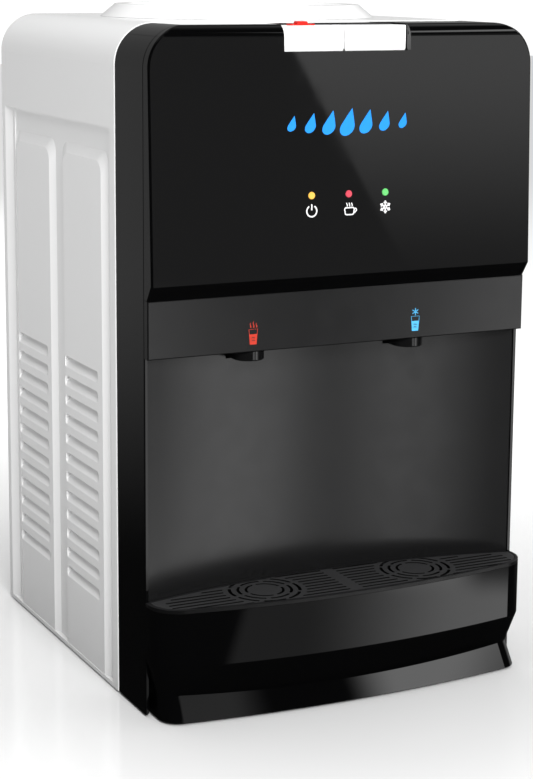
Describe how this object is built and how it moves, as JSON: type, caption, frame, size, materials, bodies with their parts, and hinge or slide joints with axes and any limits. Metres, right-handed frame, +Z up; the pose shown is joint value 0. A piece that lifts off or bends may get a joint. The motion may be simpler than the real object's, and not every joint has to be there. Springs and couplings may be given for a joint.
{
  "type": "countertop water dispenser",
  "caption": "Countertop hot and cold water dispenser with top bottle seat, push buttons, two spouts, lift-out drip tray, side louvres and compressor cooling.",
  "frame": {"origin": "middle of the footprint, on the surface the rubber feet stand on", "axes": "+Z up, the front with buttons and spouts faces -Y, +X is the user's right"},
  "size_m": [0.31, 0.3489, 0.508],
  "materials": {
    "white_plastic": "glossy moulded ABS",
    "black_gloss": "high gloss black ABS",
    "black_satin": "fine satin dark grey",
    "button_white": "glossy",
    "lock_red": "glossy",
    "rocker_green": "glossy",
    "lens_amber": "translucent amber",
    "lens_red": "translucent red",
    "lens_green": "translucent green",
    "link_plastic": "natural acetal",
    "silicone": "milky food-grade silicone",
    "spring_steel": "bright wire",
    "zinc_sheet": "galvanised sheet",
    "painted_sheet": "white powder coat",
    "rubber_black": "matt",
    "stainless": "drawn stainless",
    "copper": "bare copper",
    "black_enamel": "black enamel",
    "foam": "expanded foam, skinned",
    "jacket_felt": "mineral fibre felt",
    "board_green": "solder mask"
  },
  "bodies": {
    "casing": {"cabinet_shell": "white_plastic", "front_frame": "black_gloss", "front_panel": "black_gloss", "base_plinth": "black_gloss", "spout_band": "black_satin", "backsplash": "black_satin", "hot_spout": "black_satin", "cold_spout": "black_satin", "front_bulkhead": "black_satin", "switch_housings": "black_satin", "cord_gland": "black_satin", "power_lens": "lens_amber", "heat_lens": "lens_red", "cool_lens": "lens_green", "hot_valve_body": "link_plastic", "cold_valve_body": "link_plastic", "tank_baffle": "link_plastic", "drain_fitting": "link_plastic", "hot_hose": "silicone", "cold_hose": "silicone", "transfer_hose": "silicone", "drain_hose": "silicone", "hot_return_spring": "spring_steel", "cold_return_spring": "spring_steel", "back_panel_screws": "spring_steel", "base_plate": "zinc_sheet", "hot_tank_stand": "zinc_sheet", "back_panel": "painted_sheet", "rubber_feet": "rubber_black", "compressor_grommets": "rubber_black", "cold_tank": "stainless", "hot_tank": "stainless", "band_heater": "stainless", "hot_thermostats": "stainless", "evaporator_coil": "copper", "filter_drier": "copper", "compressor": "black_enamel", "condenser": "black_enamel", "insulation_left": "foam", "insulation_right": "foam", "hot_tank_jacket": "jacket_felt", "indicator_board": "board_green", "power_board": "board_green"},
    "hot_tap": {"hot_button": "button_white", "hot_push_link": "link_plastic", "hot_valve_stem": "silicone"},
    "cold_tap": {"cold_button": "button_white", "cold_push_link": "link_plastic", "cold_valve_stem": "silicone"},
    "child_lock": {"child_lock": "lock_red"},
    "drip_tray": {"drip_tray": "black_satin"},
    "drip_grille": {"drip_grille": "black_satin"},
    "bottle_seat": {"bottle_collar": "white_plastic", "bottle_seat": "white_plastic", "neck_seal": "silicone", "feed_probe": "white_plastic"},
    "drain_cap": {"drain_cap": "black_satin"},
    "heat_rocker": {"heat_rocker": "lock_red"},
    "cool_rocker": {"cool_rocker": "rocker_green"}
  },
  "joints": [
    {"name": "hot_press", "type": "slide", "parent": "casing", "child": "hot_tap", "axis": [0, 0, -1], "range_m": [0, 0.006], "stiffness_N_per_m": 250, "springref_m": -0.008, "deforming": ["hot_return_spring"]},
    {"name": "cold_press", "type": "slide", "parent": "casing", "child": "cold_tap", "axis": [0, 0, -1], "range_m": [0, 0.006], "stiffness_N_per_m": 250, "springref_m": -0.008, "deforming": ["cold_return_spring"]},
    {"name": "lock_slide", "type": "slide", "parent": "hot_tap", "child": "child_lock", "axis": [-1, 0, 0], "range_m": [0, 0.006]},
    {"name": "tray_lift", "type": "slide", "parent": "casing", "child": "drip_tray", "axis": [0, 0, 1], "range_m": [0, 0.06]},
    {"name": "grille_lift", "type": "slide", "parent": "drip_tray", "child": "drip_grille", "axis": [0, 0, 1], "range_m": [0, 0.05]},
    {"name": "seat_lift", "type": "slide", "parent": "casing", "child": "bottle_seat", "axis": [0, 0, 1], "range_m": [0, 0.06]},
    {"name": "drain_cap_pull", "type": "slide", "parent": "casing", "child": "drain_cap", "axis": [0, 1, 0], "range_m": [0, 0.02]},
    {"name": "heat_switch", "type": "hinge", "parent": "casing", "child": "heat_rocker", "pos_m": [0.088, 0.1517, 0.445], "axis": [1, 0, 0], "range_deg": [-16, 0]},
    {"name": "cool_switch", "type": "hinge", "parent": "casing", "child": "cool_rocker", "pos_m": [0.116, 0.1517, 0.445], "axis": [1, 0, 0], "range_deg": [-16, 0]}
  ]
}
